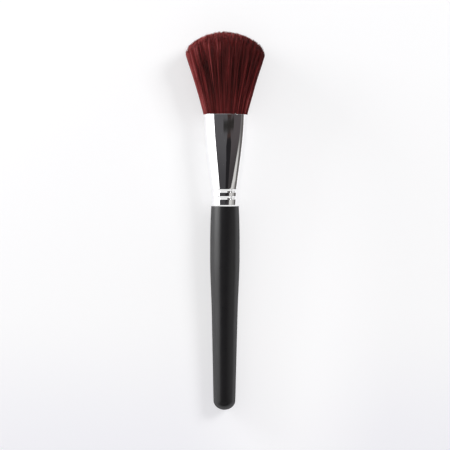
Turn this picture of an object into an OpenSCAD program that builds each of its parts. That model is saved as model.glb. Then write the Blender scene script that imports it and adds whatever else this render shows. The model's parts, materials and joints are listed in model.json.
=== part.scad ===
// Powder brush: a fanned, dome-topped tuft in a bright oval-mouthed ferrule on a turned handle.
// Sizes are millimetres. Each piece is built upright on the brush's own axis, measured from the
// handle's butt, and the whole brush is then laid down as it rests: on its butt and its tuft.

/* [Handle] */
// Length of the bare handle, from its butt to the ferrule's rim
handle_len = 98.4; // [85:0.2:125]
// Diameter at the butt, above its rounding
butt_d = 10.6; // [9:0.1:12]
// Depth of the rounded butt along the handle
butt_round = 4.6; // [3:0.1:5.2]
// Diameter where the straight grip ends and the handle begins to swell
grip_d = 12.5; // [12:0.1:13.4]
// Length over which the handle swells from its grip to its belly
swell_len = 27; // [15:0.5:40]
// Diameter of the belly, the widest part of the handle
belly_d = 14.2; // [13.8:0.1:17]
// Length of the straight land that the belly has at its widest
belly_land = 6; // [5:0.5:10]
// Distance from the middle of the belly's land to the ferrule's rim
belly_to_rim = 21.4; // [14:0.2:30]
// How far the ferrule's rim stands proud of the handle's shoulder
rim_proud = 0.25; // [0.15:0.05:0.3]
// Radius of the shoulder's rounded edge
shoulder_round = 0.1; // [0.05:0.01:0.1]

/* [Tenon] */
// Length of the tenon that the ferrule is pushed onto
tenon_len = 16; // [13:0.5:19]
// Chamfer at the tenon's end
tenon_chamfer = 1; // [0.3:0.1:2]
// Thickness of the glue between the tenon and the ferrule's rim
glue_film = 0.15; // [0.12:0.01:0.2]

/* [Ferrule] */
// Length of the ferrule
ferrule_len = 43.9; // [40:0.1:52]
// Thickness of the ferrule's wall
ferrule_wall = 0.4; // [0.3:0.05:0.5]
// Outer diameter at the lower rim
rim_d = 13.8; // [13.2:0.05:14]
// Outer diameter at the top of the round, crimped collar
collar_d = 15; // [14.2:0.1:16]
// Outer width of the flattened mouth
mouth_w = 21; // [17:0.1:24]
// Outer thickness of the flattened mouth
mouth_t = 13.2; // [11:0.1:17]
// How far the flat sides swell between collar and mouth
side_swell = 0.45; // [0:0.05:1]
// Width of the eased edges at rim and mouth
edge_ease = 0.15; // [0.05:0.01:0.25]

/* [Crimps] */
// Number of crimped grooves
crimp_count = 2; // [1:1:3]
// Height of the lowest groove's middle above the rim
crimp_at = 4; // [2:0.1:5]
// Distance between the grooves' middles
crimp_pitch = 3.3; // [2.6:0.1:3.8]
// Width of a groove
crimp_w = 1.5; // [1:0.1:2.4]
// Depth of a groove
crimp_depth = 0.5; // [0.3:0.05:0.8]
// Height of the round land above the top groove
collar_land = 0.4; // [0.2:0.1:1.5]

/* [Tuft] */
// Free length of the tuft above the mouth, at its middle
tuft_len = 39.9; // [32:0.1:50]
// Width of the fanned tuft at its shoulders
tuft_w = 37.3; // [26:0.1:44]
// Thickness of the fanned tuft at its shoulders
tuft_t = 22.6; // [18:0.1:32]
// Height of the shoulders above the mouth
shoulder_at = 27.6; // [22:0.1:30]
// Radius of the domed top, seen from the front
dome_r = 24.2; // [22:0.1:40]
// How far the outermost tips fall below the dome, which rounds the shoulders
shoulder_drop = 2.4; // [0:0.1:5]
// How unevenly the tips are cut
tip_scatter = 0.5; // [0:0.05:1.2]
// Length over which a strand runs out to its tip
tip_taper = 1.5; // [1:0.1:4]
// Number of strands across the width
strand_cols = 22; // [22:1:26]
// Number of strands across the thickness
strand_rows = 14; // [14:1:16]
// Share of its place that a strand fills
strand_fill_share = 0.9; // [0.7:0.01:0.94]
// Depth to which the tuft's underside is pressed flat where it lies
flat_depth = 0.5; // [0.3:0.1:0.7]

/* [Root] */
// Depth of the bound root below the mouth
root_depth = 12; // [8:0.5:14]
// Height of the root block that carries the strands
root_block = 3; // [2.4:0.1:5]
// Thickness of the thread that binds the root block
thread_t = 0.6; // [0.4:0.05:1]
// Height of the thread's binding
thread_h = 1.8; // [1:0.1:2.2]
// Height of the resin that locks the root in the ferrule
resin_h = 5; // [3:0.5:7]
// Gap between the tuft and the ferrule's wall
tuft_clear = 0.2; // [0.1:0.05:0.4]

/* [Hidden] */
$fn = 96;

black_lacquer = [0.13, 0.12, 0.13];
clear_glue = [0.86, 0.80, 0.62];
bright_metal = [0.83, 0.84, 0.86];
amber_resin = [0.72, 0.55, 0.30];
cream_thread = [0.90, 0.86, 0.76];
wine_fibre = [0.36, 0.10, 0.10];

// Gap between the thread and the root block that it binds
thread_clear = 0.03;
// Gap between the resin and the wall that it is cast against
resin_clear = 0.02;
// Step by which the lofted tube's foot stands inside the collar's two faces
seam_step = 0.03;
// How far the lofted tube's foot runs down into the collar's wall
foot_sink = 0.1;
// How far a cutting shape runs past what it cuts
overrun = 1;
// Starting number of the uneven tips' random series
scatter_seed = 7;

// Steps in curved outlines and sides of the lofted ferrule
round_steps = 12;
swell_steps = 12;
crimp_steps = 8;
mouth_sides = 72;
mouth_rings = 8;

// Places along the brush's axis, from the butt
rim_z = handle_len;
mouth_z = rim_z + ferrule_len;
root_z = mouth_z - root_depth;
tip_z = mouth_z + tuft_len;
belly_top = rim_z - belly_to_rim + belly_land / 2;
belly_foot = belly_top - belly_land;
swell_foot = belly_foot - swell_len;

function mix(a, b, t) = a + (b - a) * t;

// Ferrule sizes at a height above its rim

collar_len = crimp_at + (crimp_count - 1) * crimp_pitch + crimp_w / 2 + collar_land;

// Depth of the crimped grooves: each is a smooth wave.
function groove(z) = max([
    for (i = [0 : crimp_count - 1])
        let (off = abs(z - crimp_at - i * crimp_pitch))
        off < crimp_w / 2 ? crimp_depth * (1 + cos(360 * off / crimp_w)) / 2 : 0
]);

function collar_outer(z) = mix(rim_d, collar_d, z / collar_len) / 2 - groove(z);
function collar_inner(z) = collar_outer(z) - ferrule_wall;

// Above the collar the tube widens to its mouth and is pressed flat, from front to back.
function flare_share(z) = max(z - collar_len, 0) / (ferrule_len - collar_len);
function half_width(z) = mix(collar_d, mouth_w, sin(90 * flare_share(z))) / 2;
function half_thick(z) =
    mix(collar_d, mouth_t, (1 - cos(180 * flare_share(z))) / 2) / 2 + side_swell * sin(180 * flare_share(z));

// Heights at which the collar's outline turns: rim, grooves and top.
collar_heights = concat(
    [edge_ease],
    [
        for (i = [0 : crimp_count - 1])
            for (j = [0 : crimp_steps])
                crimp_at + i * crimp_pitch + crimp_w * (j / crimp_steps - 1 / 2)
    ],
    [collar_len]
);
function reversed(list) = [for (i = [len(list) - 1 : -1 : 0]) list[i]];

// Handle: the crimps press their grooves into the tenon, through its glue

tenon_r = rim_d / 2 - ferrule_wall - glue_film;
shoulder_r = rim_d / 2 - rim_proud;

tenon_side = [for (z = collar_heights) [min(tenon_r, collar_inner(z) - glue_film), rim_z + z]];

butt_outline = [
    for (i = [0 : round_steps])
        let (a = 90 * i / round_steps)
        [butt_d / 2 * sin(a), butt_round * (1 - cos(a))]
];

// The swell leaves the straight grip at the grip's own slope and arrives level at the belly.
grip_slope = (grip_d - butt_d) / 2 / (swell_foot - butt_round);
swell_outline = [
    for (i = [0 : swell_steps])
        let (t = i / swell_steps, leave = t * pow(1 - t, 2), arrive = t * t * (3 - 2 * t))
        [
            mix(grip_d, belly_d, arrive) / 2 + grip_slope * swell_len * leave,
            mix(swell_foot, belly_foot, t)
        ]
];

// From the belly the handle falls away in a parabola to its shoulder.
neck_outline = [
    for (i = [0 : swell_steps])
        let (t = i / swell_steps)
        [mix(belly_d / 2, shoulder_r, t * t), mix(belly_top, rim_z - shoulder_round, t)]
];

shoulder_outline = [
    for (i = [1 : round_steps])
        let (a = 90 * i / round_steps)
        [shoulder_r - shoulder_round * (1 - cos(a)), rim_z - shoulder_round * (1 - sin(a))]
];

module handle() {
    color(black_lacquer)
        rotate_extrude()
            polygon(concat(
                butt_outline,
                swell_outline,
                neck_outline,
                shoulder_outline,
                [[tenon_r, rim_z]],
                tenon_side,
                [
                    [tenon_r, rim_z + tenon_len - tenon_chamfer],
                    [tenon_r - tenon_chamfer, rim_z + tenon_len],
                    [0, rim_z + tenon_len]
                ]
            ));
}

// Glue fills the space between the tenon and the collar.
module handle_glue() {
    color(clear_glue)
        rotate_extrude()
            polygon(concat(
                tenon_side,
                reversed([for (z = collar_heights) [collar_inner(z), rim_z + z]])
            ));
}

// Ferrule: a turned and crimped collar with a lofted, flattened tube above it

// One ring of points round the flattened tube, inset from its outer face.
function mouth_ring(z, inset) = [
    for (i = [0 : mouth_sides - 1])
        let (a = 360 * i / mouth_sides)
        [(half_width(z) - inset) * cos(a), (half_thick(z) - inset) * sin(a), rim_z + z]
];

// Triangles between two rings of a stack, facing out as the stack climbs.
function band(below, above, sides) = [
    for (i = [0 : sides - 1])
        let (j = (i + 1) % sides)
        each [
            [below * sides + i, above * sides + i, above * sides + j],
            [below * sides + i, above * sides + j, below * sides + j]
        ]
];

// The flat lowest or highest end of a solid stack.
function end_fan(ring, sides, up) = [
    for (i = [1 : sides - 2])
        let (first = ring * sides)
        up ? [first, first + i + 1, first + i] : [first, first + i, first + i + 1]
];

function listed(rings) = [for (ring = rings) each ring];

module ferrule() {
    top_round = ferrule_len - edge_ease;
    loft_heights = [for (i = [1 : mouth_rings]) mix(collar_len, top_round, i / mouth_rings)];
    rings = concat(
        [mouth_ring(collar_len - foot_sink, seam_step)],
        [for (z = loft_heights) mouth_ring(z, 0)],
        [mouth_ring(ferrule_len, edge_ease), mouth_ring(ferrule_len, ferrule_wall)],
        [for (z = reversed(loft_heights)) if (z < top_round) mouth_ring(z, ferrule_wall)],
        [mouth_ring(collar_len - foot_sink, ferrule_wall - seam_step)]
    );
    color(bright_metal) {
        rotate_extrude()
            polygon(concat(
                [[rim_d / 2 - ferrule_wall, rim_z], [rim_d / 2 - edge_ease, rim_z]],
                [for (z = collar_heights) [collar_outer(z), rim_z + z]],
                reversed([for (z = collar_heights) [collar_inner(z), rim_z + z]])
            ));
        polyhedron(
            points = listed(rings),
            faces = [for (k = [0 : len(rings) - 1]) each band(k, (k + 1) % len(rings), mouth_sides)],
            convexity = 6
        );
    }
}

// Root: resin fills the bore under the root block, and thread is wound round the block

resin_top = ferrule_len - root_depth - root_block;

module root_resin() {
    levels = 2;
    rings = [
        for (i = [0 : levels])
            mouth_ring(resin_top - resin_h * (1 - i / levels), ferrule_wall + resin_clear)
    ];
    color(amber_resin)
        polyhedron(
            points = listed(rings),
            faces = concat(
                end_fan(0, mouth_sides, false),
                [for (k = [0 : levels - 1]) each band(k, k + 1, mouth_sides)],
                end_fan(levels, mouth_sides, true)
            )
        );
}

// Half width and half thickness of the bundle at its root, in the mouth and at its shoulders
root_inset = ferrule_wall + tuft_clear + thread_t;
root_half = [half_width(resin_top) - root_inset, half_thick(resin_top) - root_inset];
mouth_half = [mouth_w, mouth_t] / 2 - [1, 1] * (ferrule_wall + tuft_clear);
shoulder_half = [tuft_w, tuft_t] / 2;

// An upright cylinder with an oval plan.
module oval(half, h) {
    scale([half.x, half.y, 1])
        cylinder(r = 1, h = h);
}

module binding_thread() {
    color(cream_thread)
        translate([0, 0, root_z - (root_block + thread_h) / 2])
            difference() {
                oval(root_half + [1, 1] * thread_t, thread_h);
                translate([0, 0, -overrun])
                    oval(root_half + [1, 1] * thread_clear, thread_h + 2 * overrun);
            }
}

// Tuft: strands stand in rows and columns on the root block, squeezed into an oval, and each
// leans out in step with its place, so that none crosses another

// The bundle's half sizes at a height above the mouth: its sides are straight up to the shoulders.
function fan_half(h) = mouth_half + (shoulder_half - mouth_half) * h / shoulder_at;

// Height at which a strand meets the dome, for its place as a share of the half width.
lean = (shoulder_half.x - mouth_half.x) / shoulder_at;
dome_middle = tuft_len - dome_r;
function dome_height(share) =
    let (
        a = 1 + pow(share * lean, 2),
        b = dome_middle - share * share * mouth_half.x * lean,
        c = pow(share * mouth_half.x, 2) + dome_middle * dome_middle - dome_r * dome_r
    )
    (b + sqrt(max(b * b - a * c, 0))) / a;

// A square of places becomes a disc, so that rows and columns fill an oval.
function on_disc(u, v) = [u * sqrt(1 - v * v / 2), v * sqrt(1 - u * u / 2)];

function bundle_point(u, v, half, z) =
    let (p = on_disc(u, v))
    [p.x * half.x, p.y * half.y, z];

strand_count = strand_cols * strand_rows;
places = [
    for (row = [0 : strand_rows - 1])
        for (col = [0 : strand_cols - 1])
            [(2 * col + 1) / strand_cols - 1, (2 * row + 1) / strand_rows - 1]
];
scatter = rands(-tip_scatter, 0, strand_count, scatter_seed);

function tip_height(i) =
    let (share = norm(on_disc(places[i].x, places[i].y)))
    dome_height(share) - shoulder_drop * pow(share, 8) + scatter[i];

// A strand's four corners at one height, as shares of the half of its place.
corner_shares = [[-1, -1], [1, -1], [1, 1], [-1, 1]] * strand_fill_share;

function strand_section(i, half, z) = [
    for (corner = corner_shares)
        bundle_point(places[i].x + corner.x / strand_cols, places[i].y + corner.y / strand_rows, half, z)
];

function full_section(i) =
    let (upper = tip_height(i) - tip_taper)
    strand_section(i, fan_half(upper), mouth_z + upper);

// The brush lies tilted, until its butt and its tuft's pressed underside share a plane.
lowest_strands = [for (i = [strand_count - strand_cols : strand_count - 1]) each full_section(i)];
rest_tilt = max([
    for (p = lowest_strands)
        atan((p.y - flat_depth - butt_d / 2) / (p.z - butt_round))
]);
rest_lift = max([for (p = butt_outline) p.x * cos(rest_tilt) - p.y * sin(rest_tilt)]);

// A point of the tuft, held above the plane that the brush lies on.
function pressed(p) =
    [p.x, min(p.y, (rest_lift + p.z * sin(rest_tilt)) / cos(rest_tilt)), p.z];

function strand_points(i) =
    let (tip = tip_height(i))
    concat(
        strand_section(i, root_half, root_z),
        strand_section(i, mouth_half, mouth_z - edge_ease),
        [for (p = full_section(i)) pressed(p)],
        [pressed(bundle_point(places[i].x, places[i].y, fan_half(tip), mouth_z + tip))]
    );

// Points are listed in three runs: the grid on the block's top, the strands, the block's bottom
// edge. A strand has three sections of four points, then its tip.
strand_size = 13;
first_strand = (strand_cols + 1) * (strand_rows + 1);
first_bottom = first_strand + strand_count * strand_size;

// Columns and rows of the grid's edge, once round from its first corner.
edge_cells = concat(
    [for (i = [0 : strand_cols - 1]) [i, 0]],
    [for (i = [0 : strand_rows - 1]) [strand_cols, i]],
    [for (i = [0 : strand_cols - 1]) [strand_cols - i, strand_rows]],
    [for (i = [0 : strand_rows - 1]) [0, strand_rows - i]]
);
function grid_index(cell) = cell.y * (strand_cols + 1) + cell.x;
function grid_point(cell, z) =
    bundle_point(2 * cell.x / strand_cols - 1, 2 * cell.y / strand_rows - 1, root_half, z);

tuft_points = concat(
    [for (row = [0 : strand_rows]) for (col = [0 : strand_cols]) grid_point([col, row], root_z)],
    [for (i = [0 : strand_count - 1]) each strand_points(i)],
    [for (cell = edge_cells) grid_point(cell, root_z - root_block)]
);

// The block's top round a strand's foot: its place is a square with the foot cut out of it.
function foot_faces(i) =
    let (
        col = i % strand_cols,
        row = floor(i / strand_cols),
        corners = [for (step = [[0, 0], [1, 0], [1, 1], [0, 1]]) grid_index([col, row] + step)],
        foot = first_strand + i * strand_size
    )
    [
        for (k = [0 : 3])
            let (n = (k + 1) % 4)
            each [
                [corners[k], foot + n, corners[n]],
                [corners[k], foot + k, foot + n]
            ]
    ];

function strand_faces(i) =
    let (foot = first_strand + i * strand_size, tip = foot + strand_size - 1)
    [
        for (k = [0 : 3])
            let (n = (k + 1) % 4)
            each [
                [foot + k, foot + 4 + k, foot + 4 + n],
                [foot + k, foot + 4 + n, foot + n],
                [foot + 4 + k, foot + 8 + k, foot + 8 + n],
                [foot + 4 + k, foot + 8 + n, foot + 4 + n],
                [foot + 8 + k, tip, foot + 8 + n]
            ]
    ];

block_faces =
    let (count = len(edge_cells))
    concat(
        [
            for (i = [0 : count - 1])
                let (
                    j = (i + 1) % count,
                    top_i = grid_index(edge_cells[i]),
                    top_j = grid_index(edge_cells[j])
                )
                each [
                    [first_bottom + i, top_i, top_j],
                    [first_bottom + i, top_j, first_bottom + j]
                ]
        ],
        [for (i = [1 : count - 2]) [first_bottom, first_bottom + i, first_bottom + i + 1]]
    );

module bristle_tuft() {
    color(wine_fibre)
        polyhedron(
            points = tuft_points,
            faces = concat(
                [for (i = [0 : strand_count - 1]) each concat(foot_faces(i), strand_faces(i))],
                block_faces
            ),
            convexity = 20
        );
}

// Lays the upright brush down as it rests.
module lying() {
    translate([0, -tip_z * cos(rest_tilt) / 2, rest_lift])
        rotate([rest_tilt - 90, 0, 0])
            children();
}

lying() handle();
lying() handle_glue();
lying() ferrule();
lying() root_resin();
lying() binding_thread();
lying() bristle_tuft();
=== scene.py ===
import json
from math import cos, pi, radians, sin, sqrt

import bpy
import numpy as np
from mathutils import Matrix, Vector


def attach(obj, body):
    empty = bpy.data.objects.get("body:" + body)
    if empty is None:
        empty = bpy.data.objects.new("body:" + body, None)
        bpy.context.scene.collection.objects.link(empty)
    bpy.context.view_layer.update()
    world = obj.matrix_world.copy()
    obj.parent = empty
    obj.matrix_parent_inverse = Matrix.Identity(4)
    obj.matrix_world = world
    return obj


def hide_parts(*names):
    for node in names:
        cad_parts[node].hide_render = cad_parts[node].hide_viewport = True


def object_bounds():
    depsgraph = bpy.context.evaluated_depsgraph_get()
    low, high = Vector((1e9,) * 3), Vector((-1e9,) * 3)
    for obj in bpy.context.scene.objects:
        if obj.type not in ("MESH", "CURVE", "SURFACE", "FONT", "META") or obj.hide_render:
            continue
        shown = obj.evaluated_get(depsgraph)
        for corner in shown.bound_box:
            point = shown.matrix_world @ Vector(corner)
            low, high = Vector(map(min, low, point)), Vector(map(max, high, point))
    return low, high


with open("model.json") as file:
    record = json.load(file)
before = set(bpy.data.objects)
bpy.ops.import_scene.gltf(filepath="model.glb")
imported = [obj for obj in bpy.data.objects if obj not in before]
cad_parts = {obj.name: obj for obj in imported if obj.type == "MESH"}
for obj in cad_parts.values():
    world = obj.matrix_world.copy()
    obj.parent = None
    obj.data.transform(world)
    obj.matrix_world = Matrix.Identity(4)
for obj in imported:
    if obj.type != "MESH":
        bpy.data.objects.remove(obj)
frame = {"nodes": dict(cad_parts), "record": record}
cad_lo, cad_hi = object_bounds()

MM = 0.001

# Sizes of the brush in millimetres, from the butt towards the tuft
BARE_HANDLE = 98.4
BUTT_R, BUTT_ROUND = 5.3, 4.6
GRIP_R, SWELL = 6.25, 27.0
BELLY_R, BELLY_LAND, BELLY_TO_RIM = 7.1, 6.0, 21.4
SHOULDER_R, SHOULDER_ROUND, SHOULDER_LAND = 6.65, 0.1, 0.05
TENON_R, TENON, TENON_BEVEL, TENON_FOOT = 6.35, 16.0, 1.0, 0.1
FERRULE, WALL, GLUE_LINE = 43.9, 0.4, 0.15
RIM_R, COLLAR_R, COLLAR = 6.9, 7.5, 8.45
CRIMPS_AT, CRIMP_W, CRIMP_DEPTH, CRIMP_SOFT = (4.0, 7.3), 1.6, 0.34, 0.1
FOOT_BEVEL = (0.24, 0.6)
MOUTH_HALF = (10.5, 6.6)
SIDE_SWELL = 0.45
EDGE_ROUND, EDGE_STEP = 0.06, 0.05
TUFT, DOME_FALL, SHOULDER_FALL = 39.9, 9.3, 2.0
ROOT_DEPTH, ROOT_BLOCK = 12.0, 3.0

# The rings in each stretch of the handle, the ferrule and the tuft's core, and their sides
BUTT_RINGS, GRIP_RINGS, SWELL_RINGS, SHOULDER_RINGS, ROUND_RINGS = 24, 30, 40, 30, 7
CRIMP_RINGS, COLLAR_RINGS, TUBE_RINGS, LIP_RINGS = 9, 90, 70, 9
ROOT_RINGS, FAN_RINGS, DOME_RINGS = 12, 32, 40
HANDLE_SIDES, FERRULE_SIDES, CORE_SIDES = 144, 192, 220

# The first ring of the butt, as a share of its quarter turn
BUTT_TIP = 0.04

# Heights along the brush, in millimetres from the butt
RIM_AT = BARE_HANDLE
MOUTH_AT = RIM_AT + FERRULE
BELLY_AT = RIM_AT - BELLY_TO_RIM

# The brush's own directions, from the mount on its handle: along the brush, across it and up
belly = next(m for m in frame["record"]["mounts"] if m["name"] == "rack_hole_land")
ALONG = -Vector(belly["axis"]).normalized()
ACROSS = Vector((1, 0, 0))
UP = ACROSS.cross(ALONG)
AXES = np.array([ACROSS, UP, ALONG])
BELLY = np.array(belly["pos_m"])


def placed(points):
    """Points as (across, up, along from the butt), in millimetres, to the frame's metres."""
    points = np.asarray(points, float) - (0, 0, BELLY_AT)
    return points * MM @ AXES + BELLY


def mix(a, b, t):
    return a + (b - a) * t


def ramp(value, start, end):
    """0 before start, 1 after end and even between them."""
    return np.clip((value - start) / (end - start), 0, 1)


def hump(value, middle, half):
    """1 at the middle, falling away smoothly on both sides."""
    return np.exp(-(((value - middle) / half) ** 2))


# Mesh making


def piece_from(name, points, quads=(), triangles=()):
    """A smooth mesh piece from points in the brush's own directions and rows of corner numbers."""
    quads = np.asarray(quads, np.int32).reshape(-1, 4)
    triangles = np.asarray(triangles, np.int32).reshape(-1, 3)
    points = placed(points)
    mesh = bpy.data.meshes.new(name)
    mesh.vertices.add(len(points))
    mesh.vertices.foreach_set("co", points.astype(np.float32).ravel())
    corners = np.concatenate([quads.ravel(), triangles.ravel()])
    sides = np.concatenate([np.full(len(quads), 4), np.full(len(triangles), 3)])
    mesh.loops.add(len(corners))
    mesh.loops.foreach_set("vertex_index", corners.astype(np.int32))
    mesh.polygons.add(len(sides))
    starts = np.concatenate([[0], np.cumsum(sides)[:-1]])
    mesh.polygons.foreach_set("loop_start", starts.astype(np.int32))
    mesh.polygons.foreach_set("loop_total", sides.astype(np.int32))
    mesh.polygons.foreach_set("use_smooth", np.full(len(sides), True))
    mesh.update(calc_edges=True)
    mesh.validate()
    piece = bpy.data.objects.new(name, mesh)
    bpy.context.scene.collection.objects.link(piece)
    return piece


def turns(sides):
    return np.arange(sides) * 2 * pi / sides


def oval_rings(rings, sides):
    """Points round level oval rings, each given as (half width, half thickness, along)."""
    rings = np.asarray(rings, float)
    across = rings[:, :1] * np.cos(turns(sides))
    up = rings[:, 1:2] * np.sin(turns(sides))
    return np.stack([across, up, np.repeat(rings[:, 2:], sides, axis=1)], axis=-1)


def ring_stack(name, rings, closed):
    """A skin through rings of points. A closed stack's last ring joins its first; an open one ends
    in two poles."""
    sides = rings.shape[1]
    points = rings.reshape(-1, 3)
    k = np.arange(len(rings) if closed else len(rings) - 1)[:, None]
    i = np.arange(sides)[None, :]
    below, above = k * sides, (k + 1) % len(rings) * sides
    j = (i + 1) % sides
    quads = np.stack([below + i, below + j, above + j, above + i], axis=-1).reshape(-1, 4)
    triangles = []
    if not closed:
        top = (len(rings) - 1) * sides
        poles = [(0, 0, rings[0, :, 2].mean()), (0, 0, rings[-1, :, 2].mean())]
        first, last = len(points), len(points) + 1
        points = np.concatenate([points, poles])
        for n in range(sides):
            m = (n + 1) % sides
            triangles.append((first, m, n))
            triangles.append((last, top + n, top + m))
    return piece_from(name, points, quads, triangles)


def finished(piece, material, body="root", replaces=()):
    """Gives a piece its material and its body, and hides the nodes it stands for."""
    piece.data.materials.clear()
    piece.data.materials.append(material)
    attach(piece, body)
    if replaces:
        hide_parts(*replaces)
    return piece


# Nodes


def link(tree, source, target):
    tree.links.new(source, target)


def add_node(tree, kind, inputs=None, **settings):
    """A node with its settings, and with a plain value or another node's output on each of the
    inputs named."""
    node = tree.nodes.new(kind)
    for setting, value in settings.items():
        setattr(node, setting, value)
    for socket, value in (inputs or {}).items():
        if isinstance(value, bpy.types.NodeSocket):
            link(tree, value, node.inputs[socket])
        else:
            node.inputs[socket].default_value = value
    return node


def worked_out(tree, operation, *terms, clamp=False):
    """The result of arithmetic on plain values and other nodes' outputs."""
    inputs = dict(enumerate(terms))
    node = add_node(tree, "ShaderNodeMath", inputs, operation=operation, use_clamp=clamp)
    return node.outputs[0]


def vector_of(tree, operation, *terms):
    inputs = dict(enumerate(terms))
    return add_node(tree, "ShaderNodeVectorMath", inputs, operation=operation).outputs[0]


def length_of(tree, vector):
    return add_node(tree, "ShaderNodeVectorMath", {0: vector}, operation="LENGTH").outputs["Value"]


def noise(tree, place, scale, detail):
    inputs = {"Vector": place, "Scale": scale, "Detail": detail}
    return add_node(tree, "ShaderNodeTexNoise", inputs).outputs["Fac"]


def eased(tree, value, start, end):
    """0 at the start and 1 at the end, eased at both."""
    inputs = {"Value": value, "From Min": start, "From Max": end}
    node = add_node(tree, "ShaderNodeMapRange", inputs, interpolation_type="SMOOTHSTEP")
    return node.outputs["Result"]


def blended(tree, share, a, b):
    """A colour between two, each a plain colour or another node's output."""
    a, b = ((*colour, 1) if isinstance(colour, tuple) else colour for colour in (a, b))
    inputs = {"Factor": share, "A": a, "B": b}
    return add_node(tree, "ShaderNodeMix", inputs, data_type="RGBA").outputs["Result"]


def place_and_along(tree):
    """Where a surface lies in the frame, and how far along the brush that is."""
    place = add_node(tree, "ShaderNodeNewGeometry").outputs["Position"]
    return place, add_node(tree, "ShaderNodeSeparateXYZ", {0: place}).outputs["Y"]


def seen_or_mirrored(tree):
    """1 where something is seen straight, in a mirror or through a clear thing, otherwise 0."""
    ray = add_node(tree, "ShaderNodeLightPath").outputs
    seen = worked_out(tree, "ADD", ray["Is Camera Ray"], ray["Is Glossy Ray"])
    return worked_out(tree, "ADD", seen, ray["Is Transmission Ray"], clamp=True)


def new_group(name, given, put_out):
    """An empty node group with the sockets named, as the group and its two ends' sockets."""
    group = bpy.data.node_groups.new(name, "ShaderNodeTree")
    for in_out, sockets in (("INPUT", given), ("OUTPUT", put_out)):
        for socket, kind in sockets.items():
            group.interface.new_socket(socket, in_out=in_out, socket_type="NodeSocket" + kind)
    ends = add_node(group, "NodeGroupInput").outputs, add_node(group, "NodeGroupOutput").inputs
    return group, *ends


# Materials

# Broad unevenness has this share of the fine one's grains
BROAD_SHARE = 0.08

# From which tone on hair gets pinker, partly its own paler dye and partly a painted sheen, and from
# where along a hair its tip colour comes in
PINKER_TONES, TIP_STRETCH = (0.4, 0.9), (0.6, 1.0)


def shader(name, base, roughness, **values):
    """A material with its Principled shader, whose plain values sit on its own sockets."""
    material = bpy.data.materials.new(name)
    material.use_nodes = True
    sockets = shader_sockets(material)
    sockets["Base Color"].default_value = (*base, 1)
    sockets["Roughness"].default_value = roughness
    for socket, value in values.items():
        sockets[socket.replace("_", " ")].default_value = value
    return material


def shader_sockets(material):
    return material.node_tree.nodes["Principled BSDF"].inputs


def unevenness_group():
    """Fine unevenness of a made surface: noise stretched along the brush, as a roughness round a
    middle value and as a height for a bump."""
    group, given, put_out = new_group(
        "fine unevenness",
        dict.fromkeys(("Grains per metre", "Stretch", "Roughness", "Spread"), "Float"),
        dict.fromkeys(("Roughness", "Height"), "Float"),
    )
    place = add_node(group, "ShaderNodeTexCoord").outputs["Object"]
    shrink = worked_out(group, "DIVIDE", 1, given["Stretch"])
    shares = add_node(group, "ShaderNodeCombineXYZ", {"X": 1, "Y": shrink, "Z": 1}).outputs[0]
    stretched = vector_of(group, "MULTIPLY", place, shares)
    grain = noise(group, stretched, given["Grains per metre"], detail=4)
    fewer = worked_out(group, "MULTIPLY", given["Grains per metre"], BROAD_SHARE)
    broad = noise(group, place, fewer, detail=2)
    centred = worked_out(group, "SUBTRACT", worked_out(group, "ADD", grain, broad), 1)
    rough = worked_out(group, "MULTIPLY_ADD", centred, given["Spread"], given["Roughness"])
    link(group, rough, put_out["Roughness"])
    link(group, grain, put_out["Height"])
    return group


def add_unevenness(material, grains, stretch, roughness, spread, depth):
    """Drives a material's roughness and bump from the fine unevenness; depth is in metres."""
    tree, sockets = material.node_tree, shader_sockets(material)
    given = {
        "Grains per metre": grains,
        "Stretch": stretch,
        "Roughness": roughness,
        "Spread": spread,
    }
    surface = add_node(tree, "ShaderNodeGroup", given, node_tree=uneven).outputs
    relief = {"Strength": 1, "Distance": depth, "Height": surface["Height"]}
    bump = add_node(tree, "ShaderNodeBump", relief)
    link(tree, surface["Roughness"], sockets["Roughness"])
    link(tree, bump.outputs["Normal"], sockets["Normal"])


def rougher_at_edges(material, extra):
    """A matte skin loses its gloss where it turns away from the eye."""
    tree, rough = material.node_tree, shader_sockets(material)["Roughness"]
    turned = add_node(tree, "ShaderNodeLayerWeight", {"Blend": 0.5}).outputs["Facing"]
    steep = worked_out(tree, "POWER", turned, 2)
    plain = rough.links[0].from_socket
    link(tree, worked_out(tree, "MULTIPLY_ADD", steep, extra, plain), rough)


def hair_tone_group():
    """Dyed hair: dark to light by a hair's own tone, pinker where it is palest, partly as a painted
    sheen, and in its tip colour towards its tip."""
    colours = dict.fromkeys(("Dark", "Light", "Pale", "Tip"), "Color")
    group, given, put_out = new_group(
        "dyed hair tone", {**colours, "Tip share": "Float"}, {"Color": "Color"}
    )
    tone = add_node(group, "ShaderNodeAttribute", attribute_name="tone").outputs["Fac"]
    along = add_node(group, "ShaderNodeAttribute", attribute_name="along").outputs["Fac"]
    dyed = blended(group, tone, given["Dark"], given["Light"])
    paled = blended(group, eased(group, tone, *PINKER_TONES), dyed, given["Pale"])
    near_tip = eased(group, along, *TIP_STRETCH)
    share = worked_out(group, "MULTIPLY", near_tip, given["Tip share"])
    link(group, blended(group, share, paled, given["Tip"]), put_out["Color"])
    return group


def hair_material(name, dark, light, pale, tip, tip_share, roughness):
    material = shader(name, light, roughness, Specular_IOR_Level=0.13)
    colours = {"Dark": dark, "Light": light, "Pale": pale, "Tip": tip}
    given = {socket: (*colour, 1) for socket, colour in colours.items()}
    given["Tip share"] = tip_share
    dyed = add_node(material.node_tree, "ShaderNodeGroup", given, node_tree=hair_tone)
    link(material.node_tree, dyed.outputs["Color"], shader_sockets(material)["Base Color"])
    return material


uneven = unevenness_group()
hair_tone = hair_tone_group()

lacquer = shader("matte black lacquer", (0.0098, 0.0092, 0.0103), 0.32, Specular_IOR_Level=0.6)
add_unevenness(lacquer, grains=2600, stretch=1.5, roughness=0.3, spread=0.08, depth=0.000004)
rougher_at_edges(lacquer, extra=0.7)

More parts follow.
